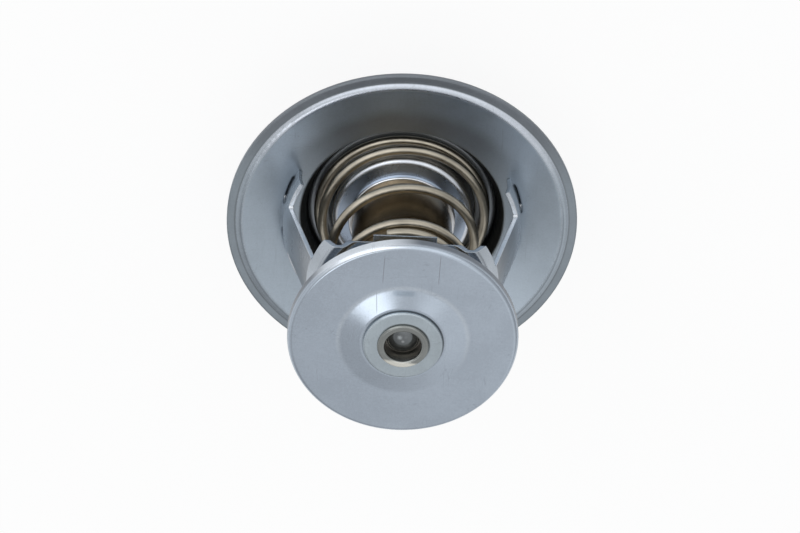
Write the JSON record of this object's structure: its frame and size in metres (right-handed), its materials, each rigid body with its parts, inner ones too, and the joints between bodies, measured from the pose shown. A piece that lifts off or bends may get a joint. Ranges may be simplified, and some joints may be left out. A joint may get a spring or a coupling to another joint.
{
  "type": "engine thermostat insert",
  "caption": "Wax-capsule engine thermostat insert: a dished round flange, a stirrup frame, a conical return spring and a sprung bypass disc on a headed stem.",
  "frame": {"origin": "centre of the flange rim's upper face, on the valve axis", "axes": "+Z along the valve axis, from the bridge towards the bypass disc; the stirrup's legs stand along X"},
  "size_m": [0.067, 0.067, 0.0579],
  "materials": {
    "flange_steel": "stamped sheet, satin, cool grey",
    "frame_steel": "stamped sheet, satin, bright cut edges",
    "bridge_steel": "stamped sheet, satin",
    "valve_steel": "stamped sheet, bright on its shoulder",
    "disc_steel": "stamped sheet, satin, fine scratches",
    "washer_steel": "flat washer, satin",
    "hub_steel": "turned, rolled lip",
    "stem_steel": "drawn, domed head",
    "piston_steel": "ground and polished",
    "spring_wire": "drawn wire, tempered to a warm brown-gold",
    "cup_brass": "turned brass, darkened brown",
    "guide_brass": "turned brass",
    "retainer_steel": "pressed ring, bright",
    "rubber": "black, matt",
    "wax": "wax with metal powder",
    "backup_plastic": "hard white plastic"
  },
  "bodies": {
    "frame": {"flange": "flange_steel", "lower_frame": "frame_steel", "upper_bridge": "bridge_steel", "piston": "piston_steel", "main_spring": "spring_wire"},
    "valve": {"valve_plate": "valve_steel", "capsule_cup": "cup_brass", "capsule_guide": "guide_brass", "plate_retainer": "retainer_steel", "backup_washer": "backup_plastic", "piston_seal": "rubber", "rubber_sleeve": "rubber", "wax_charge": "wax", "stem": "stem_steel", "bypass_spring": "spring_wire"},
    "bypass": {"bypass_disc": "disc_steel", "hub_bush": "hub_steel", "hub_washer": "washer_steel"}
  },
  "joints": [
    {"name": "valve_lift", "type": "slide", "parent": "frame", "child": "valve", "axis": [0, 0, 1], "range_m": [0, 0.0085], "stiffness_N_per_m": 1500, "springref_m": -0.03, "deforming": ["main_spring"]},
    {"name": "bypass_slide", "type": "slide", "parent": "valve", "child": "bypass", "axis": [0, 0, 1], "range_m": [-0.005, 0], "stiffness_N_per_m": 3000, "springref_m": 0.008, "deforming": ["bypass_spring"]}
  ]
}
